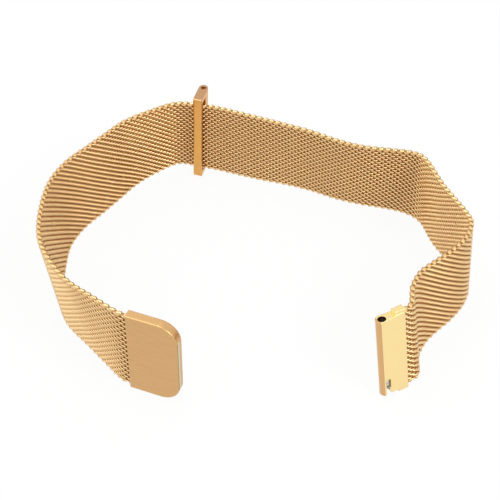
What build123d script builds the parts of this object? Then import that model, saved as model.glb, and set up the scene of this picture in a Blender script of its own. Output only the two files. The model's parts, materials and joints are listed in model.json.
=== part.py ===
from build123d import *
import math
import os

os.makedirs("parts", exist_ok=True)

# A milanese mesh watch band, standing on its lower edge in the open curl that it keeps when off
# the watch. Millimetres, +Z up, with the origin on the surface it stands on, below the middle.
# The route of the mesh runs from the magnetic clasp round the loop to the fixed lug.

# Sizes of the mesh and its route
mesh_width = 22.4
mesh_thickness = 1.4
loop_span = 100.0
clasp_end_lift = 0.43
lug_end_lift = 0.825
ring_lift = 1.57
route_across = 0.26
route_away = 1.1
mesh_pair_pitch = 1.74
mesh_pair_gap = 0.5
mesh_pair_gap_depth = 0.35
hinge_gap = 0.4
hinge_land = 0.4

# Sizes of the clasp
clasp_length = 12.6
clasp_cover_thickness = 0.6
clasp_back_thickness = 0.6
clasp_wall = 0.4
clasp_width = mesh_width + 2 * clasp_wall
clasp_corner_radius = 4.8
clasp_edge_round = 0.4
clasp_grip = 1.8
keeper_thickness = 0.3
magnet_length = 8.0
magnet_height = 9.6
magnet_gap = 0.4
magnet_setback = 0.4

# Sizes of the fixed lug
lug_tube_length = 21.8
lug_shoulder_length = 23.6
lug_shoulder_depth = 2.7
lug_nose_radius = 1.5
lug_reach = 5.65
lug_mouth_thickness = 1.7
lug_face_setback = 0.35
lug_groove_depth = 1.2
lug_tongue_thickness = 0.9
lug_bore = 1.95
lug_notch_width = 1.3
lug_notch_height = 4.4
lug_notch_shift = 0.2

# Sizes of the slotted lug, called the ring
ring_height = 27.0
ring_front_bar = 0.9
ring_slot_width = 2.6
ring_slot_height = 24.2
ring_tube_bar = 3.1
ring_front_width = 2.4
ring_back_width = 2.4
ring_bore = 1.3
ring_edge_round = 0.5
ring_rise = 0.68
ring_notch_width = 1.2
ring_notch_height = 4.0

# Sizes of the spring bars
lug_bar_length = 18.6
lug_bar_start = 1.3
lug_bar_diameter = 1.9
lug_bar_hollow = 1.3
lug_tip_diameter = 0.9
lug_tip_stand = 0.3
lug_tip_travel = 2.6
lug_knob_travel = 2.0
lug_knob_diameter = 0.7
lug_knob_reach = 0.95
lug_knob_height = 2.9
ring_bar_length = 24.4
ring_bar_start = 1.3
ring_bar_diameter = 1.2
ring_bar_hollow = 0.86
ring_tip_diameter = 0.62
ring_tip_stand = 0.2
ring_tip_travel = 2.1
ring_knob_diameter = 0.6
ring_knob_reach = 1.05
ring_knob_height = 2.9
bar_fit = 0.04
bar_neck_length = 0.5
bar_head_length = 0.6

# The route of the mesh: across and away as shares of loop_span, for the mid-height of the
# mesh, then how far its upper edge leans across and away, as shares of mesh_width.
route_shares = [
    (-0.2925, -0.38, 0.01, 0.03),
    (-0.3175, -0.3675, -0.02, 0.05),
    (-0.365, -0.3225, -0.1, 0.05),
    (-0.42, -0.2675, -0.15, 0.01),
    (-0.47, -0.2025, -0.14, 0.05),
    (-0.4975, -0.14, -0.15, 0.07),
    (-0.5075, -0.07, -0.16, 0.1),
    (-0.5075, 0.0175, -0.14, 0.1),
    (-0.4975, 0.0825, -0.11, 0.09),
    (-0.4675, 0.1475, -0.1, 0.08),
    (-0.42, 0.2075, -0.09, 0.06),
    (-0.38, 0.2575, -0.07, 0.05),
    (-0.34, 0.305, -0.06, 0.01),
    (-0.28, 0.35, 0.0, -0.03),
    (-0.215, 0.3825, 0.02, -0.07),
    (-0.1525, 0.3675, 0.03, -0.05),
    (-0.1075, 0.355, 0.02, -0.04),
    (-0.005, 0.3175, 0.0, -0.05),
    (0.075, 0.2925, -0.03, -0.08),
    (0.14, 0.27, -0.02, -0.1),
    (0.21, 0.2375, -0.01, -0.12),
    (0.2725, 0.2175, -0.03, -0.12),
    (0.3375, 0.205, -0.03, -0.1),
    (0.3925, 0.19, -0.02, -0.06),
    (0.4275, 0.1575, -0.05, -0.01),
    (0.4575, 0.065, -0.02, -0.07),
    (0.505, -0.0375, -0.05, -0.06),
    (0.5125, -0.0825, -0.07, -0.01),
    (0.495, -0.1325, -0.08, 0.03),
    (0.455, -0.1825, -0.1, 0.06),
    (0.415, -0.22, -0.11, 0.08),
    (0.3825, -0.2535, -0.12, 0.11),
    (0.3625, -0.2925, -0.12, 0.12),
    (0.3575, -0.3185, -0.13, 0.105),
    (0.355, -0.346, -0.14, 0.105),
    (0.3475, -0.361, -0.14, 0.115),
    (0.33, -0.3735, -0.11, 0.125),
]
last_station = len(route_shares) - 1
# Places along the route, as shares of its whole number of stations
ring_share = 0.4151
ring_slide_share = 0.4611
lift_share = 0.4444
lift_reach_share = 0.1111
hinge_shares = [0.0389, 0.1333, 0.2361, 0.375, 0.5139, 0.6528, 0.7528, 0.8639, 0.9556]
# A small step along the route, as such a share, over which its direction is taken.
nudge_share = 0.0003
# Headings in degrees, seen from above: the clasp and the lug, each away from its mesh end.
clasp_heading = -21.5
lug_heading = 209.0


def curve_value(before, start, end, after, share):
    # one coordinate of a smooth curve through start and end, share of the way between them
    slope = end - before
    bend = 2 * before - 5 * start + 4 * end - after
    twist = 3 * (start - end) + after - before
    return start + share * (slope + share * (bend + share * twist)) / 2


def route_row(index):
    # past either end, the row that carries the end straight on
    if index < 0:
        return [2 * near - far for near, far in zip(route_shares[0], route_shares[1])]
    if index > last_station:
        return [2 * near - far for near, far in zip(route_shares[-1], route_shares[-2])]
    return route_shares[index]


def mesh_middle(station):
    # middle of the mesh, and its direction from lower to upper edge, at a place on the route
    index = min(int(station), last_station - 1)
    rows = [route_row(index + offset) for offset in (-1, 0, 1, 2)]
    across, away, lean_across, lean_away = [
        curve_value(*column, station - index) for column in zip(*rows)
    ]
    up = Vector(lean_across, lean_away, math.sqrt(1 - lean_across**2 - lean_away**2))
    lift = clasp_end_lift + (lug_end_lift - clasp_end_lift) * station / last_station
    lift += ring_lift * math.exp(-(((station / last_station - lift_share) / lift_reach_share) ** 2))
    height = lift + mesh_width * up.Z / 2
    middle = Vector(across * loop_span + route_across, away * loop_span + route_away, height)
    return middle, up


def mesh_plane(station):
    # plane across the mesh: x from lower to upper edge, z along the route
    middle, up = mesh_middle(station)
    before = mesh_middle(max(station - nudge_share * last_station, 0))[0]
    after = mesh_middle(min(station + nudge_share * last_station, last_station))[0]
    along = after - before
    along -= up * along.dot(up)
    return Plane(origin=middle, x_dir=up, z_dir=along)


def station_length(station):
    # length of route per station number, near a place
    start = max(station - nudge_share * last_station, 0)
    end = min(station + nudge_share * last_station, last_station)
    return (mesh_middle(end)[0] - mesh_middle(start)[0]).length / (end - start)


def station_past(station, distance):
    # the place that lies a short distance further along the route
    halfway = station + distance / station_length(station) / 2
    return station + distance / station_length(halfway)


def heading_frame(middle, up, heading):
    # plane with x along a heading, squared to the mesh's upward direction, which is its y
    flat = Vector(math.cos(math.radians(heading)), math.sin(math.radians(heading)), 0)
    level = flat - up * flat.dot(up)
    return Plane(origin=middle, x_dir=level, z_dir=level.cross(up))


def mesh_stretch(start, end, planes_before=(), planes_after=(), free_start=True, free_end=True):
    # A stretch of mesh between two places. It has a rib for each pair of wire coils, whose joined
    # ends are the beads along both edges, and a free end has both its long edges bevelled.
    bevel = (mesh_thickness - hinge_land) / 2
    length = station_length((start + end) / 2) * (end - start)
    count = max(1, round(length / mesh_pair_pitch))
    first = station_past(start, bevel) if free_start else start
    last = station_past(end, -bevel) if free_end else end
    sections = [(first, 0)]
    for number in range(1, count):
        gap = first + (last - first) * number / count
        sections.append((station_past(gap, -mesh_pair_gap / 2), 0))
        sections.append((gap, mesh_pair_gap_depth))
        sections.append((station_past(gap, mesh_pair_gap / 2), 0))
    sections.append((last, 0))
    with BuildPart() as stretch:
        for plane in planes_before:
            with BuildSketch(plane):
                Rectangle(mesh_width, mesh_thickness)
        if free_start:
            with BuildSketch(mesh_plane(start)):
                Rectangle(mesh_width, hinge_land)
        for place, inset in sections:
            with BuildSketch(mesh_plane(place)):
                Rectangle(mesh_width - 2 * inset, mesh_thickness - 2 * inset)
        if free_end:
            with BuildSketch(mesh_plane(end)):
                Rectangle(mesh_width, hinge_land)
        for plane in planes_after:
            with BuildSketch(plane):
                Rectangle(mesh_width, mesh_thickness)
        loft(ruled=True)
    return stretch.part


def save(part, name):
    part.label = name
    export_step(part, "parts/" + name + ".step")


# Frames of the clasp, the fixed lug and the ring
clasp_start, clasp_up = mesh_middle(0)
clasp_frame = heading_frame(clasp_start, clasp_up, clasp_heading)
lug_start, lug_up = mesh_middle(last_station)
lug_frame = heading_frame(lug_start, lug_up, lug_heading)
ring_middle = mesh_plane(ring_share * last_station)
clasp_cavity = mesh_thickness

# Mesh: places where its stretches end, half the hinge gap to each side of every hinge
hinge_places = [share * last_station for share in hinge_shares]
section_starts = [station_past(place, hinge_gap / 2) for place in hinge_places]
section_ends = [station_past(place, -hinge_gap / 2) for place in hinge_places]

# The clasp end of the mesh, whose straight tongue is gripped between cover and back plate
tongue_end = Plane(
    origin=clasp_frame.origin + clasp_frame.x_dir * clasp_grip,
    x_dir=clasp_frame.y_dir,
    z_dir=-clasp_frame.x_dir,
)
tongue_start = Plane(origin=clasp_frame.origin, x_dir=clasp_frame.y_dir, z_dir=-clasp_frame.x_dir)
mesh_from = station_past(0, mesh_thickness / 2)
mesh_clasp_end = mesh_stretch(
    mesh_from, section_ends[0], planes_before=(tongue_end, tongue_start), free_start=False
)
save(mesh_clasp_end, "mesh_clasp_end")

# The stretches between the hinges
for number in range(len(hinge_places) - 1):
    section = mesh_stretch(section_starts[number], section_ends[number + 1])
    save(section, f"mesh_section_{number + 1}")

# The lug end of the mesh, with a pressed tongue that fills the lug's groove
lug_mouth = Plane(origin=lug_frame.origin, x_dir=lug_frame.y_dir, z_dir=lug_frame.x_dir)
mesh_until = station_past(last_station, -mesh_thickness / 2)
lug_stretch = mesh_stretch(
    section_starts[-1], mesh_until, planes_after=(lug_mouth,), free_end=False
)
with BuildPart() as mesh_lug_end:
    add(lug_stretch)
    with BuildSketch(lug_mouth):
        Rectangle(mesh_width, lug_tongue_thickness)
    extrude(amount=lug_groove_depth)
save(mesh_lug_end.part, "mesh_lug_end")

# Clasp: in its frame, x runs away from the mesh, y up and z towards the outer face
cavity_top = clasp_cavity / 2
cavity_length = clasp_length - clasp_wall
cover_plane = clasp_frame.offset(-cavity_top)
with BuildPart() as clasp_cover:
    with BuildSketch(cover_plane) as cover_outline:
        Rectangle(clasp_length, clasp_width, align=(Align.MIN, Align.CENTER))
        far_corners = cover_outline.vertices().sort_by(Axis(cover_plane.origin, cover_plane.x_dir))[-2:]
        fillet(far_corners, clasp_corner_radius)
    extrude(amount=clasp_cavity + clasp_cover_thickness)
    outer_face = clasp_cover.faces().sort_by(Axis(clasp_frame.origin, clasp_frame.z_dir))[-1]
    fillet(outer_face.edges(), clasp_edge_round)
    with BuildSketch(cover_plane) as cavity_outline:
        Rectangle(cavity_length, clasp_width - 2 * clasp_wall, align=(Align.MIN, Align.CENTER))
        far_corners = cavity_outline.vertices().sort_by(Axis(cover_plane.origin, cover_plane.x_dir))[-2:]
        fillet(far_corners, clasp_corner_radius - clasp_wall)
    extrude(amount=clasp_cavity, mode=Mode.SUBTRACT)
save(clasp_cover.part, "clasp_cover")

with BuildPart() as clasp_back_plate:
    with BuildSketch(cover_plane) as back_outline:
        Rectangle(clasp_length, clasp_width, align=(Align.MIN, Align.CENTER))
        far_corners = back_outline.vertices().sort_by(Axis(cover_plane.origin, cover_plane.x_dir))[-2:]
        fillet(far_corners, clasp_corner_radius)
    extrude(amount=-clasp_back_thickness)
    contact_face = clasp_back_plate.faces().sort_by(Axis(clasp_frame.origin, clasp_frame.z_dir))[0]
    fillet(contact_face.edges(), clasp_edge_round)
save(clasp_back_plate.part, "clasp_back_plate")

# Keeper and magnets fill the cavity behind the gripped end of the mesh
magnet_thickness = clasp_cavity - keeper_thickness
magnet_start = clasp_grip + magnet_setback
keeper_height = 2 * magnet_height + magnet_gap
with BuildPart() as clasp_keeper:
    with BuildSketch(clasp_frame.offset(cavity_top)):
        with Locations((magnet_start, 0)):
            Rectangle(magnet_length, keeper_height, align=(Align.MIN, Align.CENTER))
    extrude(amount=-keeper_thickness)
save(clasp_keeper.part, "clasp_keeper")

magnet_middle = (magnet_height + magnet_gap) / 2
for name, side in (("upper", 1), ("lower", -1)):
    with BuildPart() as magnet:
        with BuildSketch(cover_plane):
            with Locations((magnet_start, side * magnet_middle)):
                Rectangle(magnet_length, magnet_height, align=(Align.MIN, Align.CENTER))
        extrude(amount=magnet_thickness)
    save(magnet.part, f"clasp_magnet_{name}")

# Fixed lug: its section is drawn with the bore's axis as origin, x back towards the mesh and
# y towards the outer face, on a plane that looks down the bore
lug_back = -lug_frame.x_dir
lug_outer = lug_frame.y_dir.cross(lug_frame.x_dir)
lug_axis = lug_frame.origin + lug_frame.x_dir * lug_reach
lug_outer_face = lug_mouth_thickness / 2
lug_front_height = lug_nose_radius - lug_face_setback


def lug_plane(height):
    # plane square to the bore, at a height along it from the middle
    origin = lug_axis + lug_frame.y_dir * height
    return Plane(origin=origin, x_dir=lug_back, z_dir=lug_back.cross(lug_outer))


lug_bottom = -lug_tube_length / 2
lug_nose_start = -math.sqrt(lug_nose_radius**2 - lug_front_height**2)
with BuildPart() as lug_body:
    # a nose round the bore, with flat faces that close in towards the mesh
    with BuildSketch(lug_plane(lug_bottom)):
        with BuildLine():
            front = Line((lug_nose_start, lug_front_height), (lug_reach, lug_outer_face))
            mouth = Line(front @ 1, (lug_reach, -lug_outer_face))
            back = Line(mouth @ 1, (0, -lug_nose_radius))
            ThreePointArc(back @ 1, (-lug_nose_radius, 0), front @ 0)
        make_face()
    extrude(amount=lug_tube_length, dir=lug_frame.y_dir)
    with BuildSketch(lug_plane(-lug_shoulder_length / 2)):
        with Locations((lug_reach, 0)):
            Rectangle(lug_shoulder_depth, lug_mouth_thickness, align=(Align.MAX, Align.CENTER))
    extrude(amount=lug_shoulder_length, dir=lug_frame.y_dir)
    with BuildSketch(lug_plane(lug_bottom)):
        Circle(lug_bore / 2)
    extrude(amount=lug_tube_length, dir=lug_frame.y_dir, mode=Mode.SUBTRACT)
    with BuildSketch(lug_mouth):
        Rectangle(mesh_width, lug_tongue_thickness)
    extrude(amount=lug_groove_depth, mode=Mode.SUBTRACT)
    notch_plane = Plane(origin=lug_plane(lug_bottom).origin, x_dir=lug_back, z_dir=lug_outer)
    notch_turn = 1 if notch_plane.y_dir.dot(lug_frame.y_dir) > 0 else -1
    with BuildSketch(notch_plane):
        with Locations((lug_notch_shift, 0)):
            Rectangle(
                lug_notch_width,
                2 * (lug_notch_height - lug_notch_width / 2),
            )
        with Locations((lug_notch_shift, notch_turn * (lug_notch_height - lug_notch_width / 2))):
            Circle(lug_notch_width / 2)
    extrude(amount=lug_nose_radius, mode=Mode.SUBTRACT)
save(lug_body.part, "lug_body")


def ring_plane(height):
    # plane across the ring: x away from the front bar, y along the mesh, z from lower to upper
    origin = ring_middle.origin + ring_middle.x_dir * height
    return Plane(origin=origin, x_dir=ring_away, z_dir=ring_middle.x_dir)


# Ring: from above it is an outline with a flat front and a rounded back
ring_away = ring_middle.x_dir.cross(ring_middle.z_dir)
ring_front = -(ring_slot_width / 2 + ring_front_bar)
ring_back = ring_slot_width / 2 + ring_tube_bar
ring_round = ring_back_width / 2
ring_round_middle = ring_back - ring_round
ring_foot = ring_rise - ring_height / 2
ring_bore_place = ring_round_middle
with BuildPart() as slide_ring:
    with BuildSketch(ring_plane(ring_foot)):
        with BuildLine():
            side = Line((ring_slot_width / 2, ring_front_width / 2), (ring_round_middle, ring_round))
            ThreePointArc(side @ 1, (ring_back, 0), (ring_round_middle, -ring_round))
            Line((ring_round_middle, -ring_round), (ring_slot_width / 2, -ring_front_width / 2))
            Line((ring_slot_width / 2, -ring_front_width / 2), (ring_front, -ring_front_width / 2))
            Line((ring_front, -ring_front_width / 2), (ring_front, ring_front_width / 2))
            Line((ring_front, ring_front_width / 2), side @ 0)
        make_face()
    extrude(amount=ring_height)
    away = Axis(ring_middle.origin, ring_away)
    front_face = slide_ring.faces().sort_by(away)[0]
    fillet(front_face.edges(), ring_edge_round)
    with BuildSketch(ring_plane(ring_rise - ring_slot_height / 2)):
        Rectangle(ring_slot_width, ring_back_width)
    extrude(amount=ring_slot_height, mode=Mode.SUBTRACT)
    with BuildSketch(ring_plane(ring_foot)):
        with Locations((ring_bore_place, 0)):
            Circle(ring_bore / 2)
    extrude(amount=ring_height, mode=Mode.SUBTRACT)
    with BuildSketch(ring_plane(ring_foot)):
        with Locations((ring_bore_place, 0)):
            Rectangle(ring_round, ring_notch_width, align=(Align.MIN, Align.CENTER))
    extrude(amount=ring_notch_height, mode=Mode.SUBTRACT)
save(slide_ring.part, "slide_ring")


def bar_tube(foot, length, diameter, hollow, tip, slot_width, slot_height):
    # spring bar tube on a plane at its lower end, necked in at both ends to keep the tips,
    # with a slot from the lower end for the release knob, which points along the plane's x
    with BuildPart() as tube:
        with BuildSketch(foot):
            Circle(diameter / 2)
            Circle(tip / 2 + bar_fit, mode=Mode.SUBTRACT)
        extrude(amount=length)
        with BuildSketch(foot.offset(bar_neck_length)):
            Circle(hollow / 2)
        extrude(amount=length - 2 * bar_neck_length, mode=Mode.SUBTRACT)
        with BuildSketch(foot):
            Rectangle(diameter, slot_width, align=(Align.MIN, Align.CENTER))
        extrude(amount=slot_height, mode=Mode.SUBTRACT)
    return tube.part


def bar_tip(face, travel, stand, hollow, tip):
    # tip on a plane at its end of the tube, whose z points out: a pin with a head inside
    depth = travel + bar_neck_length + bar_head_length
    with BuildPart() as pin:
        with BuildSketch(face.offset(-depth)):
            Circle(tip / 2)
        extrude(amount=depth + stand)
        with BuildSketch(face.offset(-depth)):
            Circle(hollow / 2 - bar_fit)
        extrude(amount=bar_head_length)
        fillet(pin.edges().sort_by(Axis(face.origin, face.z_dir))[-1], tip / 4)
    return pin.part


def bar_spring(foot, length, lower_travel, upper_travel, hollow, tip):
    # spring between the heads of the two tips, plain because it is hidden: a sleeve
    start = lower_travel + bar_neck_length + bar_head_length
    end = length - upper_travel - bar_neck_length - bar_head_length
    with BuildPart() as spring:
        with BuildSketch(foot.offset(start)):
            Circle(hollow / 2 - bar_fit)
            Circle(tip / 4, mode=Mode.SUBTRACT)
        extrude(amount=end - start)
    return spring.part


def bar_knob(foot, height, diameter, reach, tip):
    # release knob: a stud that stands on the side of the lower tip, along the plane's x
    across = Plane(origin=foot.offset(height).origin, x_dir=foot.y_dir, z_dir=foot.x_dir)
    with BuildPart() as knob:
        with BuildSketch(across):
            Circle(diameter / 2)
        extrude(amount=reach)
        with BuildSketch(foot):
            Circle(tip / 2)
        extrude(amount=height + diameter, mode=Mode.SUBTRACT)
    return knob.part


# The fixed lug's spring bar, its knob towards the notch in the outer face
lug_bar_foot = Plane(
    origin=lug_plane(lug_bottom + lug_bar_start).origin, x_dir=lug_outer, z_dir=lug_frame.y_dir
)
lug_bar_head = lug_bar_foot.offset(lug_bar_length)
lug_bar_under = Plane(
    origin=lug_bar_foot.origin, x_dir=lug_bar_foot.x_dir, z_dir=-lug_bar_foot.z_dir
)
lug_knob_on_bar = lug_knob_height - lug_bar_start
save(
    bar_tube(
        lug_bar_foot,
        lug_bar_length,
        lug_bar_diameter,
        lug_bar_hollow,
        lug_tip_diameter,
        lug_knob_diameter + 2 * bar_fit,
        lug_knob_on_bar + lug_knob_diameter / 2 + bar_fit,
    ),
    "lug_bar_tube",
)
save(
    bar_spring(
        lug_bar_foot, lug_bar_length, lug_knob_travel, lug_tip_travel, lug_bar_hollow, lug_tip_diameter
    ),
    "lug_bar_spring",
)
save(
    bar_tip(lug_bar_head, lug_tip_travel, lug_tip_stand, lug_bar_hollow, lug_tip_diameter),
    "lug_bar_upper_tip",
)
save(
    bar_tip(lug_bar_under, lug_knob_travel, lug_tip_stand, lug_bar_hollow, lug_tip_diameter),
    "lug_bar_lower_tip",
)
save(
    bar_knob(lug_bar_foot, lug_knob_on_bar, lug_knob_diameter, lug_knob_reach, lug_tip_diameter),
    "lug_bar_release_knob",
)

# The ring's spring bar, its knob towards the notch in the rounded back
ring_bar_origin = ring_plane(ring_foot + ring_bar_start).origin + ring_away * ring_bore_place
ring_bar_foot = Plane(origin=ring_bar_origin, x_dir=ring_away, z_dir=ring_middle.x_dir)
ring_bar_head = ring_bar_foot.offset(ring_bar_length)
ring_bar_under = Plane(
    origin=ring_bar_foot.origin, x_dir=ring_bar_foot.x_dir, z_dir=-ring_bar_foot.z_dir
)
ring_knob_on_bar = ring_knob_height - ring_bar_start
save(
    bar_tube(
        ring_bar_foot,
        ring_bar_length,
        ring_bar_diameter,
        ring_bar_hollow,
        ring_tip_diameter,
        ring_knob_diameter + 2 * bar_fit,
        ring_knob_on_bar + ring_knob_diameter / 2 + bar_fit,
    ),
    "ring_bar_tube",
)
save(
    bar_spring(
        ring_bar_foot,
        ring_bar_length,
        ring_tip_travel,
        ring_tip_travel,
        ring_bar_hollow,
        ring_tip_diameter,
    ),
    "ring_bar_spring",
)
save(
    bar_tip(ring_bar_head, ring_tip_travel, ring_tip_stand, ring_bar_hollow, ring_tip_diameter),
    "ring_bar_upper_tip",
)
save(
    bar_tip(ring_bar_under, ring_tip_travel, ring_tip_stand, ring_bar_hollow, ring_tip_diameter),
    "ring_bar_lower_tip",
)
save(
    bar_knob(ring_bar_foot, ring_knob_on_bar, ring_knob_diameter, ring_knob_reach, ring_tip_diameter),
    "ring_bar_release_knob",
)

# Places and directions of the joints and the faces, printed in millimetres for the record
for number, place in enumerate(hinge_places, 1):
    hinge = mesh_plane(place)
    print("hinge", number, tuple(hinge.origin), tuple(hinge.x_dir), tuple(hinge.z_dir))
ring_run = mesh_plane(ring_slide_share * last_station).origin - ring_middle.origin
print("ring", tuple(ring_middle.origin), tuple(ring_run.normalized()), ring_run.length)
print("lug bar", tuple(lug_bar_foot.origin), tuple(lug_bar_foot.z_dir), tuple(lug_outer))
print("lug bar head", tuple(lug_bar_head.origin))
print("ring bar", tuple(ring_bar_foot.origin), tuple(ring_bar_foot.z_dir), tuple(ring_away))
print("ring bar head", tuple(ring_bar_head.origin))
print("clasp", tuple(clasp_frame.origin), tuple(clasp_frame.x_dir), tuple(clasp_frame.z_dir))
print("lug", tuple(lug_axis), tuple(lug_back), tuple(lug_outer))
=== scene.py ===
import bpy
import json
import math
import numpy as np
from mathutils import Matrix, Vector


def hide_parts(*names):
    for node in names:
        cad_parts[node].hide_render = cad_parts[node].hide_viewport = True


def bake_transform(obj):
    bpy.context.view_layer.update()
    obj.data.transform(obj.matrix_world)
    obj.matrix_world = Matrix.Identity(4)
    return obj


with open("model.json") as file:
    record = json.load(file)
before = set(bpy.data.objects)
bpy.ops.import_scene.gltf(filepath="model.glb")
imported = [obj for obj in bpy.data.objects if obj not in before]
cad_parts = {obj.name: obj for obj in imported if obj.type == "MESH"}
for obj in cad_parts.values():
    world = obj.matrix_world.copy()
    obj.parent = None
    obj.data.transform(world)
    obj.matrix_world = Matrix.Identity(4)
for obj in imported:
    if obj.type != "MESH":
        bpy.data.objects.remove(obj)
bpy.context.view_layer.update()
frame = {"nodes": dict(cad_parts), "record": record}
nodes = frame["nodes"]
mm = 0.001
upward = Vector((0, 0, 1))


# The route of the mesh, the same as the solids follow

route = {
    "span": 100 * mm,          # the places below are shares of this
    "across": 0.26 * mm,       # the table's origin, from the middle of the band
    "away": 1.1 * mm,
    "claspLift": 0.43 * mm,    # height of the lower edge at the clasp
    "lugLift": 0.825 * mm,     # the same at the fixed lug
    "ringLift": 1.57 * mm,     # extra height where the slotted lug stands
    "liftShare": 0.4444,
    "liftReachShare": 0.1111,
    "gridSteps": 4000,         # on which lengths along the route are measured
    "hingeShares": [0.0389, 0.1333, 0.2361, 0.375, 0.5139, 0.6528, 0.7528, 0.8639, 0.9556],
    # across, away as shares of the span, then the lean of the upper edge as shares of the width
    "shares": np.array([
        (-0.2925, -0.38, 0.01, 0.03), (-0.3175, -0.3675, -0.02, 0.05),
        (-0.365, -0.3225, -0.1, 0.05), (-0.42, -0.2675, -0.15, 0.01),
        (-0.47, -0.2025, -0.14, 0.05), (-0.4975, -0.14, -0.15, 0.07),
        (-0.5075, -0.07, -0.16, 0.1), (-0.5075, 0.0175, -0.14, 0.1),
        (-0.4975, 0.0825, -0.11, 0.09), (-0.4675, 0.1475, -0.1, 0.08),
        (-0.42, 0.2075, -0.09, 0.06), (-0.38, 0.2575, -0.07, 0.05),
        (-0.34, 0.305, -0.06, 0.01), (-0.28, 0.35, 0.0, -0.03),
        (-0.215, 0.3825, 0.02, -0.07), (-0.1525, 0.3675, 0.03, -0.05),
        (-0.1075, 0.355, 0.02, -0.04), (-0.005, 0.3175, 0.0, -0.05),
        (0.075, 0.2925, -0.03, -0.08), (0.14, 0.27, -0.02, -0.1),
        (0.21, 0.2375, -0.01, -0.12), (0.2725, 0.2175, -0.03, -0.12),
        (0.3375, 0.205, -0.03, -0.1), (0.3925, 0.19, -0.02, -0.06),
        (0.4275, 0.1575, -0.05, -0.01), (0.4575, 0.065, -0.02, -0.07),
        (0.505, -0.0375, -0.05, -0.06), (0.5125, -0.0825, -0.07, -0.01),
        (0.495, -0.1325, -0.08, 0.03), (0.455, -0.1825, -0.1, 0.06),
        (0.415, -0.22, -0.11, 0.08), (0.3825, -0.2535, -0.12, 0.11),
        (0.3625, -0.2925, -0.12, 0.12), (0.3575, -0.3185, -0.13, 0.105),
        (0.355, -0.346, -0.14, 0.105), (0.3475, -0.361, -0.14, 0.115),
        (0.33, -0.3735, -0.11, 0.125),
    ]),
}

# the woven mesh: flattened coils that run across the band, each hooked through the next
mesh = {
    "width": 22.4 * mm,
    "thickness": 1.4 * mm,
    "wire": 0.51 * mm,         # thickness of the wire
    "columnPitch": 0.87 * mm,  # from one coil to the next along the band
    "turnPitch": 1.445 * mm,   # from one turn to the next across the band
    "coilSpan": 1.50 * mm,     # along the band, between wire centres
    "pointsPerTurn": 12,
    "sides": 6,                # round the wire
    "straightLegs": 1.05,      # 0 is an even helix, 1 takes all the slant out of the legs
    "rolledFlat": 0.04 * mm,   # how much is rolled off the faces of the mesh
    "edgeRoom": 0.86 * mm,     # taken by the joined ends along each edge
    "core": 0.45 * mm,         # thickness of the closed middle
    "intoClasp": 1.0 * mm,     # how far the coils run on into the clasp
    "blendReach": 5.5 * mm,    # how far a bend spreads to each side of its joint
}

# the joined ends of two neighbouring coils, beside the coils along both edges
bead = {
    "size": 0.96 * mm,         # across the band
    "length": 1.42 * mm,       # along the band, less than a pair of coils
    "depth": 1.25,             # its thickness against its size
    "slant": 0.22 * mm,        # how far its ends lie off its middle, towards the faces
    "rings": 9,
    "taper": 0.999,            # 1 closes its ends to a point
    "crown": 0.72,             # the highest crown on it, which sets its brightest painted highlight
    "shadeShare": 0.35,        # share of its size over which painted shade darkens it towards the coils
}


def routeAt(station):
    # middle and upward direction of the mesh, for an array of stations. Between stations it is
    # a + t/2 ((b - p) + t ((2p - 5a + 4b - q) + t (3 (a - b) + q - p))), with p a b q the rows around.
    # The lower edge lifts evenly from clasp to lug, and by e^(-x^2) more round the slotted lug
    rows = route["shares"]
    last = len(rows) - 1
    padded = np.vstack([2 * rows[0] - rows[1], rows, 2 * rows[-1] - rows[-2]])
    index = np.clip(np.floor(station).astype(int), 0, last - 1)
    t = (station - index)[:, None]
    p, a, b, q = (padded[index + k] for k in range(4))
    value = a + t * ((b - p) + t * ((2 * p - 5 * a + 4 * b - q) + t * (3 * (a - b) + q - p))) / 2
    lean = value[:, 2:]
    up = np.column_stack([lean, np.sqrt(1 - (lean ** 2).sum(1))])
    lift = route["claspLift"] + (route["lugLift"] - route["claspLift"]) * station / last
    bump = (station / last - route["liftShare"]) / route["liftReachShare"]
    lift = lift + route["ringLift"] * np.exp(-bump ** 2)
    middle = np.column_stack([
        value[:, 0] * route["span"] + route["across"],
        value[:, 1] * route["span"] + route["away"],
        lift + mesh["width"] * up[:, 2] / 2,
    ])
    return middle, up


# length along the route against station, on a fine grid
gridStations = np.linspace(0, len(route["shares"]) - 1, route["gridSteps"] + 1)
gridMiddle, gridUp = routeAt(gridStations)
gridLength = np.concatenate([[0], np.cumsum(np.linalg.norm(np.diff(gridMiddle, axis=0), axis=1))])
routeLength = gridLength[-1]
# direction along the route, square to the upward one
gridAlong = np.gradient(gridMiddle, gridLength, axis=0)
gridAlong -= gridUp * (gridAlong * gridUp).sum(1)[:, None]
gridAlong /= np.linalg.norm(gridAlong, axis=1)[:, None]


def interpolate(length, table):
    # three numbers from a table over the grid, at each length
    return np.stack([np.interp(length, gridLength, table[:, k]) for k in range(3)], -1)


def bandPoints(length, across, proud):
    # middle(length) + up(length) across + outward(length) proud, run straight on past the ends
    inside = np.clip(length, 0, routeLength)
    middle, up, along = (interpolate(inside, table) for table in (gridMiddle, gridUp, gridAlong))
    outward = np.cross(up, along)
    past = along * (length - inside)[..., None]
    return middle + past + up * across[..., None] + outward * proud[..., None]


def lengthAt(station):
    return float(np.interp(station, gridStations, gridLength))


# Mesh making

def makeObject(name, vertices, faces, smooth):
    data = bpy.data.meshes.new(name)
    data.from_pydata(vertices.tolist(), [], faces.tolist())
    data.polygons.foreach_set("use_smooth", smooth)
    data.update()
    obj = bpy.data.objects.new(name, data)
    bpy.context.scene.collection.objects.link(obj)
    return obj


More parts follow.
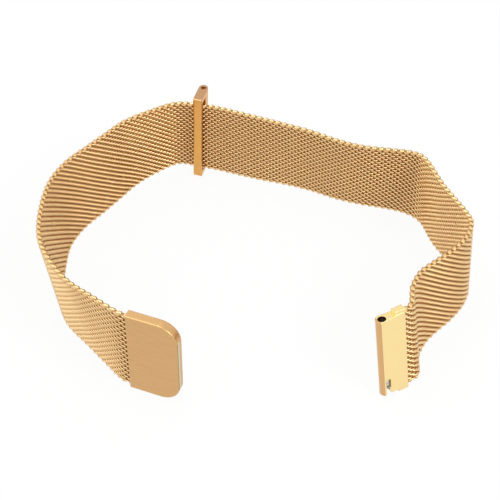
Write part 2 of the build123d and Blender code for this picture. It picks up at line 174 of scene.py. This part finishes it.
def tubeFaces(tubes, rings, sides):
    # quads of many tubes, with vertex index (tube rings + ring) sides + side. Coils end among the
    # joined ends, and those narrow almost to points, so only the four-sided core gets end quads.
    # bandPoints mirrors what it lays, so the corners run the way that faces outwards after it
    tube, ring, side = np.meshgrid(np.arange(tubes), np.arange(rings - 1), np.arange(sides), indexing="ij")
    here = (tube * rings + ring) * sides
    around = (side + 1) % sides
    corners = [here + side, here + sides + side, here + sides + around, here + around]
    quads = np.stack(corners, -1).reshape(-1, 4)
    if sides == 4:
        start = np.arange(tubes)[:, None] * rings * sides
        first = start + np.array([0, 1, 2, 3])
        last = start + (rings - 1) * sides + np.array([0, 3, 2, 1])
        quads = np.concatenate([quads, first, last])
    return quads


def tubePoints(path, radius, reference):
    # path(u) + radius(u) (cos(v) a(u) + sin(v) b(u)), with a and b square to the path's direction
    step = np.gradient(path, axis=-2)
    step /= np.linalg.norm(step, axis=-1, keepdims=True)
    a = np.cross(step, reference)
    a /= np.linalg.norm(a, axis=-1, keepdims=True)
    b = np.cross(step, a)
    v = np.linspace(0, 2 * np.pi, mesh["sides"], endpoint=False)
    ring = a[..., None, :] * np.cos(v)[:, None] + b[..., None, :] * np.sin(v)[:, None]
    return path[..., None, :] + ring * np.asarray(radius)[..., None, None]


def coilPath(columns):
    # flattened coil of span w and height h: along (w/2) cos(a), proud (h/2) sin(a), across
    # pitch (a - k sin(2a) / 2) / 2 pi, where k takes the slant from the legs to the bends. Each coil
    # is half a turn on from the last, so that its bends hook through the next. Also gives |sin(a)|,
    # which is 1 at the middle of each leg
    reach = mesh["width"] / 2 - mesh["edgeRoom"] / 2
    turns = 2 * reach / mesh["turnPitch"]
    even = np.linspace(-reach, reach, int(turns * mesh["pointsPerTurn"]) + 1)
    halfTurns = np.pi * (np.arange(len(columns)) % 2)
    angle = halfTurns[:, None] - 2 * np.pi * even / mesh["turnPitch"]
    across = even - mesh["straightLegs"] * mesh["turnPitch"] * np.sin(2 * angle) / (4 * np.pi)
    along = mesh["coilSpan"] / 2 * np.cos(angle)
    proud = (mesh["thickness"] - mesh["wire"]) / 2 * np.sin(angle)
    path = np.stack([columns[:, None] + along, across, proud], -1)
    return path, np.abs(np.sin(angle))


def rollFlat(points):
    # the mesh is rolled, so whatever stands prouder than the rolled face is pressed to it
    face = mesh["thickness"] / 2 - mesh["rolledFlat"]
    points[..., 2] = np.clip(points[..., 2], -face, face)
    return points


def beadPoints(columns, side):
    # a short rod on one long edge, set a little slantwise, whose radius follows
    # (1 - taper |u|^4)^(1/4), so that it is round at both ends
    u = np.linspace(-1, 1, bead["rings"])
    length = columns[:, None] + mesh["columnPitch"] / 2 + bead["length"] / 2 * u[None, :]
    across = np.full_like(length, side * (mesh["width"] - bead["size"]) / 2)
    path = np.stack([length, across, np.zeros_like(length)], -1)
    radius = bead["size"] / 2 * (1 - np.abs(u) ** 4 * bead["taper"]) ** 0.25
    points = tubePoints(path, np.broadcast_to(radius, length.shape), np.array([0.0, 0.0, 1.0]))
    points[..., 2] = points[..., 2] * bead["depth"] + bead["slant"] * u[None, :, None]
    return points


def beadCrown(points):
    # crown (1 - |u|^4) along a bead, and down to 0 on the side that faces the coils: painted shade at its
    # ends and towards the coils, painted highlight along its middle
    u = np.linspace(-1, 1, bead["rings"])[None, :, None]
    inner = mesh["width"] / 2 - bead["size"]
    outward = np.clip((np.abs(points[..., 1]) - inner) / (bead["shadeShare"] * bead["size"]), 0, 1)
    return bead["crown"] * (1 - np.abs(u) ** 4) * outward


def corePoints(columns):
    # the hooked bends that fill the middle of the weave, as one flat core: a rectangle carried
    # along the band, so that no light comes through where the bends close the real mesh
    pitch = mesh["columnPitch"]
    length = np.arange(columns[0] - pitch / 2, columns[-1] + pitch, pitch)
    half = mesh["core"] / 2
    wide = mesh["width"] / 2 - mesh["edgeRoom"] / 2
    corners = np.array([(-wide, -half), (wide, -half), (wide, half), (-wide, half)])
    ring = np.broadcast_to(corners, (1, len(length), 4, 2))
    along = np.broadcast_to(length[None, :, None, None], (1, len(length), 4, 1))
    return np.concatenate([along, ring], -1)


def meshPiece(name, columns):
    # every coil of one stretch, then the joined ends along both edges, laid onto the route.
    # The crown is 1 on the faces and 0 in the depth of the weave: |proud| over half the thickness,
    # times the leg's |sin|, so that each leg's painted highlight sits at its middle. The core's 0 gives it
    # the darkest painted shade
    path, legs = coilPath(columns)
    coil = rollFlat(tubePoints(path, mesh["wire"] / 2, np.array([0.0, 1.0, 0.0])))
    core = corePoints(columns)
    shapes = [coil, core]
    # crowns for the ramp of painted shade and painted highlight; the core gets 0, the darkest painted
    # shade
    crowns = [np.abs(coil[..., 2]) / (mesh["thickness"] / 2) * legs[..., None], np.zeros(core.shape[:3])]
    for side in (-1, 1):
        beads = rollFlat(beadPoints(columns[::2], side))
        shapes.append(beads)
        crowns.append(beadCrown(beads))
    vertices, faces, smooth, total = [], [], [], 0
    for shape in shapes:
        tubes, rings, sides = shape.shape[:3]
        vertices.append(shape.reshape(-1, 3))
        faces.append(tubeFaces(tubes, rings, sides) + total)
        smooth.append(np.full(len(faces[-1]), shape is not core))
        total += tubes * rings * sides
    flat = np.concatenate(vertices)
    laid = bandPoints(flat[:, 0], flat[:, 1], flat[:, 2])
    piece = makeObject(name, laid, np.concatenate(faces), np.concatenate(smooth))
    crown = piece.data.attributes.new("crown", "FLOAT", "POINT")
    crown.data.foreach_set("value", np.concatenate([c.ravel() for c in crowns]).astype(np.float32))
    return piece


# Materials

brushing = {
    "detail": 3.0,             # of the noise
    "smoothest": 0.05,         # how far the smoothest lines lie under the given roughness
    "spread": 0.12,            # from there to the roughest lines
    "relief": 0.02 * mm,
    "edgeSamples": 4,
}
# scale of the noise along and across the brushing, and how strong its relief is
grain = {
    "brushed": {"long": 250, "fine": 9000, "strength": 0.2},
    "turned": {"long": 4000, "fine": 400, "strength": 0.2},
    "drawn": {"long": 900, "fine": 900, "strength": 0.15},
    "plain": {"long": 900, "fine": 900, "strength": 0.1},
}


def newGroup(name, inputs, outputs):
    group = bpy.data.node_groups.new(name, "ShaderNodeTree")
    for label, kind in inputs:
        group.interface.new_socket(label, in_out="INPUT", socket_type="NodeSocket" + kind)
    for label, kind in outputs:
        group.interface.new_socket(label, in_out="OUTPUT", socket_type="NodeSocket" + kind)
    return group, group.nodes.new("NodeGroupInput"), group.nodes.new("NodeGroupOutput")


def setInputs(node, values):
    for socket, value in values.items():
        node.inputs[socket].default_value = value
    return node


def newNode(tree, kind, operation=None, values=None):
    # a node with its operation, and values for some of its inputs by number or name
    node = tree.nodes.new("ShaderNode" + kind)
    if operation:
        node.operation = operation
    return setInputs(node, values or {})


def placeGroup(tree, group, values):
    node = newNode(tree, "Group")
    node.node_tree = group
    return setInputs(node, values)


def makeBrushGroup():
    # fine straight scratches: noise on a place that is scaled one way along a given direction and
    # another way across it, so that it is long one way and fine the other
    group, given, out = newGroup(
        "brushedGrain",
        [("Vector", "Vector"), ("Along", "Vector"), ("Long Scale", "Float"), ("Fine Scale", "Float"),
         ("Base Roughness", "Float"), ("Spread", "Float")],
        [("Height", "Float"), ("Roughness", "Float"), ("Tone", "Float")],
    )
    link = group.links.new
    part = newNode(group, "VectorMath", "DOT_PRODUCT")
    onto = newNode(group, "VectorMath", "SCALE")
    across = newNode(group, "VectorMath", "SUBTRACT")
    fine = newNode(group, "VectorMath", "SCALE")
    long = newNode(group, "VectorMath", "SCALE")
    place = newNode(group, "VectorMath", "ADD")
    noise = newNode(group, "TexNoise", values={"Scale": 1.0, "Detail": brushing["detail"]})
    spread = newNode(group, "Math", "MULTIPLY_ADD")
    link(given.outputs["Vector"], part.inputs[0])
    link(given.outputs["Along"], part.inputs[1])
    link(given.outputs["Along"], onto.inputs[0])
    link(part.outputs["Value"], onto.inputs["Scale"])
    link(given.outputs["Vector"], across.inputs[0])
    link(onto.outputs[0], across.inputs[1])
    link(across.outputs[0], fine.inputs[0])
    link(given.outputs["Fine Scale"], fine.inputs["Scale"])
    link(onto.outputs[0], long.inputs[0])
    link(given.outputs["Long Scale"], long.inputs["Scale"])
    link(fine.outputs[0], place.inputs[0])
    link(long.outputs[0], place.inputs[1])
    link(place.outputs[0], noise.inputs["Vector"])
    link(noise.outputs["Fac"], spread.inputs[0])
    link(given.outputs["Spread"], spread.inputs[1])
    link(given.outputs["Base Roughness"], spread.inputs[2])
    link(noise.outputs["Fac"], out.inputs["Height"])
    link(spread.outputs[0], out.inputs["Roughness"])
    link(noise.outputs["Fac"], out.inputs["Tone"])
    return group


def makeEdgeGroup():
    # rounded edges: the normal turned over a small radius, and how far it turns as a mask for worn plate
    # and a painted edge highlight
    group, given, out = newGroup(
        "softEdge", [("Radius", "Float"), ("Strength", "Float")], [("Normal", "Vector"), ("WearAndHighlight", "Float")]
    )
    link = group.links.new
    bevel = newNode(group, "Bevel")
    bevel.samples = brushing["edgeSamples"]
    flat = newNode(group, "NewGeometry")
    alike = newNode(group, "VectorMath", "DOT_PRODUCT")
    turned = newNode(group, "Math", "SUBTRACT", {0: 1.0})
    wearAndHighlight = newNode(group, "Math", "MULTIPLY")
    wearAndHighlight.use_clamp = True
    link(given.outputs["Radius"], bevel.inputs["Radius"])
    link(bevel.outputs[0], alike.inputs[0])
    link(flat.outputs["Normal"], alike.inputs[1])
    link(alike.outputs["Value"], turned.inputs[1])
    link(turned.outputs[0], wearAndHighlight.inputs[0])
    link(given.outputs["Strength"], wearAndHighlight.inputs[1])
    link(bevel.outputs[0], out.inputs["Normal"])
    link(wearAndHighlight.outputs[0], out.inputs["WearAndHighlight"])
    return group


def makeBoreGroup():
    # 1 within a radius of a line, 0 outside: the inside of a bore, which light hardly reaches
    group, given, out = newGroup(
        "boreShade",
        [("Vector", "Vector"), ("Point", "Vector"), ("Axis", "Vector"), ("Radius", "Float")],
        [("Inside", "Float")],
    )
    link = group.links.new
    apart = newNode(group, "VectorMath", "SUBTRACT")
    turned = newNode(group, "VectorMath", "CROSS_PRODUCT")
    away = newNode(group, "VectorMath", "LENGTH")
    within = newNode(group, "Math", "LESS_THAN")
    link(given.outputs["Vector"], apart.inputs[0])
    link(given.outputs["Point"], apart.inputs[1])
    link(apart.outputs[0], turned.inputs[0])
    link(given.outputs["Axis"], turned.inputs[1])
    link(turned.outputs[0], away.inputs[0])
    link(away.outputs["Value"], within.inputs[0])
    link(given.outputs["Radius"], within.inputs[1])
    link(within.outputs[0], out.inputs["Inside"])
    return group


brushedGrain = makeBrushGroup()
softEdge = makeEdgeGroup()
boreShade = makeBoreGroup()


def mixColor(tree, first, second, factor):
    # mix of two colours, each a value or the output of a node, by the output of a node
    mix = newNode(tree, "Mix")
    mix.data_type = "RGBA"
    for socket, color in (("A", first), ("B", second)):
        if isinstance(color, tuple):
            mix.inputs[socket].default_value = color
        else:
            tree.links.new(color, mix.inputs[socket])
    tree.links.new(factor, mix.inputs["Factor"])
    return mix.outputs["Result"]


def brushedMetal(name, look, along):
    # metal with straight brushing along a direction, a little darker and lighter with it
    material = bpy.data.materials.new(name)
    material.use_nodes = True
    tree = material.node_tree
    link = tree.links.new
    shader = setInputs(tree.nodes["Principled BSDF"], {"Base Color": look["color"], "Metallic": 1.0})
    place = newNode(tree, "TexCoord")
    brushed = placeGroup(tree, brushedGrain, {
        "Along": along,
        "Long Scale": look["grain"]["long"],
        "Fine Scale": look["grain"]["fine"],
        "Base Roughness": look["roughness"] - brushing["smoothest"],
        "Spread": brushing["spread"],
    })
    bump = newNode(tree, "Bump", values={
        "Strength": look["grain"]["strength"],
        "Distance": brushing["relief"],
    })
    link(place.outputs["Object"], brushed.inputs["Vector"])
    link(brushed.outputs["Roughness"], shader.inputs["Roughness"])
    link(brushed.outputs["Height"], bump.inputs["Height"])
    link(bump.outputs["Normal"], shader.inputs["Normal"])
    if "tone" in look:
        dark = tuple(c * (1 - look["tone"]) for c in look["color"][:3]) + (1,)
        light = tuple(min(1.0, c * (1 + look["tone"])) for c in look["color"][:3]) + (1,)
        link(mixColor(tree, dark, light, brushed.outputs["Tone"]), shader.inputs["Base Color"])
    return material


# Gold plate: the clasp, the fixed lug and the slotted lug

wornEdgeAndHighlightColor = (0.98, 0.76, 0.46, 1)    # where the plate is worn, and a painted highlight along its edges
mounts = {mount["name"]: mount for mount in frame["record"]["mounts"]}


def colorInput(tree):
    return tree.nodes["Principled BSDF"].inputs["Base Color"]


def tintPart(tree, color, factor):
    # another colour over a part of a plate, laid over what it had
    laidOver = mixColor(tree, colorInput(tree).links[0].from_socket, color, factor)
    tree.links.new(laidOver, colorInput(tree))


def reachAlong(tree, point, direction):
    # how far a place lies from a point, measured along a direction
    apart = newNode(tree, "VectorMath", "SUBTRACT", {1: point})
    reach = newNode(tree, "VectorMath", "DOT_PRODUCT", {1: direction})
    tree.links.new(tree.nodes["Texture Coordinate"].outputs["Object"], apart.inputs[0])
    tree.links.new(apart.outputs[0], reach.inputs[0])
    return reach.outputs["Value"]


def beyond(tree, point, direction, limit):
    # 1 where a place lies further than the limit from a point, measured along a direction
    further = newNode(tree, "Math", "GREATER_THAN", {1: limit})
    tree.links.new(reachAlong(tree, point, direction), further.inputs[0])
    return further.outputs[0]


def plateMetal(name, look, along, mount=None):
    # brushed gold plate with soft edges, lighter where worn and with a painted edge highlight, and the
    # shade of its bore where it has one
    material = brushedMetal(name, look, along)
    tree = material.node_tree
    edge = placeGroup(tree, softEdge, {"Radius": look["edge"], "Strength": look["wearAndHighlight"]})
    tree.links.new(edge.outputs["Normal"], tree.nodes["Bump"].inputs["Normal"])
    # edges lighter: partly worn plate, partly a painted highlight
    tintPart(tree, wornEdgeAndHighlightColor, edge.outputs["WearAndHighlight"])
    if mount:
        inside = placeGroup(tree, boreShade, {
            "Point": mount["pos_m"],
            "Axis": mount["axis"],
            "Radius": look["boreRadius"],
        })
        tree.links.new(tree.nodes["Texture Coordinate"].outputs["Object"], inside.inputs["Vector"])
        tintPart(tree, look["boreColor"], inside.outputs["Inside"])
    return material


clasp = {
    "color": (0.67, 0.405, 0.18, 1),
    "roughness": 0.34,
    "grain": grain["brushed"],
    "tone": 0.21,              # how much darker and lighter the brushing gets
    "wearAndHighlight": 0.0,               # how strongly its edges are worn and lit with a painted highlight
    "edge": 0.05 * mm,         # radius of its softened edges
    "farEnd": 6.22 * mm,       # the flat far end starts here, from the middle of the clasp
    # bands on the far end: middle and half width, both from the contact face
    "bands": [
        {"middle": 1.72 * mm, "half": 0.34 * mm, "color": (0.66, 0.60, 0.38, 1)},  # polished edge
        {"middle": 2.30 * mm, "half": 0.10 * mm, "color": (0.30, 0.24, 0.15, 1)},  # its seam
    ],
}


def makeClaspGold():
    face = mounts["clasp_magnet_face"]
    inward = Vector(face["axis"])
    along = inward.cross(upward).normalized()
    material = plateMetal("claspGold", clasp, along)
    tree = material.node_tree
    farEnd = beyond(tree, face["pos_m"], along, clasp["farEnd"])
    depth = reachAlong(tree, face["pos_m"], -inward)
    for band in clasp["bands"]:
        within = newNode(tree, "Math", "COMPARE", {1: band["middle"], 2: band["half"]})
        onEnd = newNode(tree, "Math", "MULTIPLY")
        tree.links.new(depth, within.inputs[0])
        tree.links.new(within.outputs[0], onEnd.inputs[0])
        tree.links.new(farEnd, onEnd.inputs[1])
        tintPart(tree, band["color"], onEnd.outputs[0])
    return material


lug = {
    # the same gold plate as the clasp, made lighter in colour: painted light
    "color": (1.0, 0.75, 0.355, 1),
    "roughness": 0.18,
    "grain": grain["brushed"],
    "tone": 0.06,
    "wearAndHighlight": 1.0,
    "edge": 0.22 * mm,
    "boreRadius": 0.99 * mm,
    "boreColor": (0.21, 0.16, 0.14, 1),
    "noseHeading": math.radians(209),
    "noseStart": 0.85 * mm,    # the round nose starts this far in front of the bore's middle
    "noseShadeColor": (0.70, 0.42, 0.185, 1),
}


def makeLugGold():
    top = mounts["lug_bar_upper_end"]
    axis = Vector(top["axis"])
    heading = Vector((math.cos(lug["noseHeading"]), math.sin(lug["noseHeading"]), 0))
    heading = (heading - axis * heading.dot(axis)).normalized()
    material = plateMetal("lugGold", lug, upward, top)
    tree = material.node_tree
    # painted shade on the round nose, darker than the lug's face
    tintPart(tree, lug["noseShadeColor"], beyond(tree, top["pos_m"], heading, lug["noseStart"]))
    return material


ring = {
    "color": (0.76, 0.39, 0.11, 1),
    "roughness": 0.30,
    "grain": grain["brushed"],
    "tone": 0.15,
    "wearAndHighlight": 0.8,
    "edge": 0.22 * mm,
    "boreRadius": 0.66 * mm,
    "boreColor": (0.70, 0.42, 0.26, 1),
    "endStart": 1.02 * mm,     # the upper end starts here, from the mouth of the bore
    "endShadeColor": (0.56, 0.315, 0.165, 1),
}


def makeRingGold():
    top = mounts["ring_bar_upper_end"]
    material = plateMetal("ringGold", ring, upward, top)
    tree = material.node_tree
    # painted shade on the upper end of the slotted lug
    tintPart(tree, ring["endShadeColor"], beyond(tree, top["pos_m"], top["axis"], ring["endStart"]))
    return material


# Wire and the small metal pieces

wire = {
    "color": (0.96, 0.745, 0.43, 1),
    "roughness": 0.24,
    "grain": grain["drawn"],
    # colours by crown: painted shade down in the weave, then the sides of the wire, then a painted
    # highlight on its crowns
    "shadeAndHighlightStops": [
        (0.0, (0.51, 0.318, 0.142, 1)), (0.42, (0.70, 0.448, 0.203, 1)),
        (0.72, (0.85, 0.567, 0.275, 1)), (0.93, (0.96, 0.745, 0.43, 1)),
    ],
}
steel = {"color": (0.62, 0.60, 0.57, 1), "roughness": 0.3, "grain": grain["turned"]}
# the upper tips are steel, coloured with the painted shade of the bores they sit in
shadedLugTip = {"color": (0.52, 0.43, 0.39, 1), "roughness": 0.35, "grain": grain["plain"]}
shadedRingTip = {"color": (0.75, 0.47, 0.30, 1), "roughness": 0.35, "grain": grain["plain"]}
magnet = {"color": (0.55, 0.55, 0.56, 1), "roughness": 0.22, "grain": grain["plain"]}


def makeGoldWire():
    # drawn wire, with painted shade down in the weave and a painted highlight on the crowns of its legs
    material = brushedMetal("goldWire", wire, upward)
    tree = material.node_tree
    crown = newNode(tree, "Attribute")
    crown.attribute_name = "crown"
    # the crown picks the colour: painted shade deep in the weave, painted highlight on the crowns
    ramp = newNode(tree, "ValToRGB")
    shadeAndHighlightStops = ramp.color_ramp.elements
    while len(shadeAndHighlightStops) < len(wire["shadeAndHighlightStops"]):
        shadeAndHighlightStops.new(0.5)    # each is moved to its place below
    for stop, (position, color) in zip(shadeAndHighlightStops, wire["shadeAndHighlightStops"]):
        stop.position, stop.color = position, color
    tree.links.new(crown.outputs["Fac"], ramp.inputs["Fac"])
    tree.links.new(ramp.outputs["Color"], colorInput(tree))
    return material


goldWire = makeGoldWire()
finishes = [
    (makeClaspGold(), ["clasp_cover", "clasp_back_plate"]),
    (makeLugGold(), ["lug_body"]),
    (makeRingGold(), ["slide_ring"]),
    (brushedMetal("brightSteel", steel, upward), [
        "clasp_keeper", "lug_bar_tube", "lug_bar_spring", "lug_bar_lower_tip", "lug_bar_release_knob",
        "ring_bar_tube", "ring_bar_spring", "ring_bar_lower_tip", "ring_bar_release_knob",
    ]),
    # upper tips in painted shade
    (brushedMetal("shadedLugTip", shadedLugTip, upward), ["lug_bar_upper_tip"]),
    (brushedMetal("shadedRingTip", shadedRingTip, upward), ["ring_bar_upper_tip"]),
    (brushedMetal("nickel", magnet, upward), ["clasp_magnet_upper", "clasp_magnet_lower"]),
]
print("materials made")


# The mesh, in pieces from the middle of one stretch to the middle of the next

meshNodes = ["mesh_clasp_end"] + [f"mesh_section_{k}" for k in range(1, 9)] + ["mesh_lug_end"]
hinges = [lengthAt(share * (len(route["shares"]) - 1)) for share in route["hingeShares"]]
cuts = [-math.inf] + [(a + b) / 2 for a, b in zip(hinges, hinges[1:])] + [math.inf]
pitch = mesh["columnPitch"]
pairCount = int((routeLength + mesh["intoClasp"]) / (2 * pitch))
allColumns = (routeLength - pitch / 2 - np.arange(2 * pairCount) * pitch)[::-1].reshape(-1, 2)
pairLength = allColumns.mean(1)
for number, hinge in enumerate(hinges):
    chosen = (pairLength >= cuts[number]) & (pairLength < cuts[number + 1])
    piece = meshPiece(f"woven_mesh_{number + 1}", allColumns[chosen].ravel())
    piece.data.materials.append(goldWire)
    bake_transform(piece)
    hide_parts(meshNodes[number])
    if number == len(hinges) - 1:
        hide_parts(meshNodes[-1])
    print("mesh piece", number + 1, "polygons", len(piece.data.polygons))


# The hardware keeps its solids and gets its finishes

for material, names in finishes:
    for name in names:
        data = nodes[name].data
        data.materials.clear()
        data.materials.append(material)
print("hardware finished")


# Floor, light and camera

studio = {
    "floorSize": 4.0,
    "floorDrop": 0.05 * mm,    # below what stands on it
    "floorColor": (0.95, 0.95, 0.95, 1),
    "floorWhite": 0.93,        # share of the floor that is plain white to camera and metal
    "worldStrength": 0.64,     # of the white world, as a light on the object
    "white": (1, 1, 1, 1),
}


def plainWhite(tree, lit, plain, target, share):
    # a share of plain white for camera, glossy and transmission rays, the rest as lit
    link = tree.links.new
    path = newNode(tree, "LightPath")
    seen = path.outputs["Is Camera Ray"]
    for ray in ("Glossy", "Transmission"):
        either = newNode(tree, "Math", "MAXIMUM")
        link(seen, either.inputs[0])
        link(path.outputs[f"Is {ray} Ray"], either.inputs[1])
        seen = either.outputs[0]
    scaled = newNode(tree, "Math", "MULTIPLY", {1: share})
    mix = newNode(tree, "MixShader")
    link(seen, scaled.inputs[0])
    link(scaled.outputs[0], mix.inputs[0])
    link(lit, mix.inputs[1])
    link(plain, mix.inputs[2])
    link(mix.outputs[0], target)


def makeFloor():
    half = studio["floorSize"] / 2
    corners = [(-half, -half, 0), (half, -half, 0), (half, half, 0), (-half, half, 0)]
    data = bpy.data.meshes.new("floor")
    data.from_pydata(corners, [], [(0, 1, 2, 3)])
    floor = bpy.data.objects.new("floor", data)
    floor.location.z = -studio["floorDrop"]
    bpy.context.scene.collection.objects.link(floor)
    material = bpy.data.materials.new("floorPaper")
    material.use_nodes = True
    tree = material.node_tree
    tree.nodes.clear()
    diffuse = newNode(tree, "BsdfDiffuse", values={"Color": studio["floorColor"]})
    glow = newNode(tree, "Emission", values={"Color": studio["white"]})
    output = newNode(tree, "OutputMaterial")
    plainWhite(tree, diffuse.outputs[0], glow.outputs[0], output.inputs["Surface"], studio["floorWhite"])
    data.materials.append(material)
    return floor


def makeWorld():
    world = bpy.data.worlds.new("studio")
    bpy.context.scene.world = world
    world.use_nodes = True
    tree = world.node_tree
    tree.nodes.clear()
    soft = newNode(tree, "Background", values={
        "Color": studio["white"],
        "Strength": studio["worldStrength"],
    })
    white = newNode(tree, "Background", values={"Color": studio["white"]})
    output = newNode(tree, "OutputWorld")
    plainWhite(tree, soft.outputs[0], white.outputs[0], output.inputs["Surface"], 1.0)


# places and sizes in metres, power in watts
lamps = {
    "key": {"at": (-0.36, 0.04, 0.26), "size": 0.28, "power": 0.18},
    "fill": {"at": (0.30, -0.25, 0.35), "size": 0.25, "power": 0.85},
    "back": {"at": (-0.10, 0.10, 0.55), "size": 0.30, "power": 0.7},
}


def makeLamp(name, lamp):
    # a disk that shines at the middle of the band
    light = bpy.data.lights.new(name, "AREA")
    light.shape = "DISK"
    light.size = lamp["size"]
    light.energy = lamp["power"]
    obj = bpy.data.objects.new(name, light)
    obj.location = lamp["at"]
    obj.rotation_euler = (-Vector(lamp["at"])).to_track_quat("-Z", "Y").to_euler()
    bpy.context.scene.collection.objects.link(obj)


view = {
    "target": (-1.74 * mm, 7.4 * mm, 0.0),
    "elevation": math.radians(44),
    "distance": 312 * mm,
    "lens": 86.7,
    "nearest": 0.01,           # the camera sees nothing closer
}


def makeCamera():
    camera = bpy.data.objects.new("camera", bpy.data.cameras.new("camera"))
    camera.data.lens = view["lens"]
    camera.data.clip_start = view["nearest"]
    back = Vector((0, -math.cos(view["elevation"]), math.sin(view["elevation"])))
    camera.location = Vector(view["target"]) + back * view["distance"]
    camera.rotation_euler = (-back).to_track_quat("-Z", "Y").to_euler()
    bpy.context.scene.collection.objects.link(camera)
    bpy.context.scene.camera = camera


makeFloor()
makeWorld()
for name, lamp in lamps.items():
    makeLamp(name, lamp)
makeCamera()
bpy.context.scene.view_settings.view_transform = "Standard"
print("stage set")
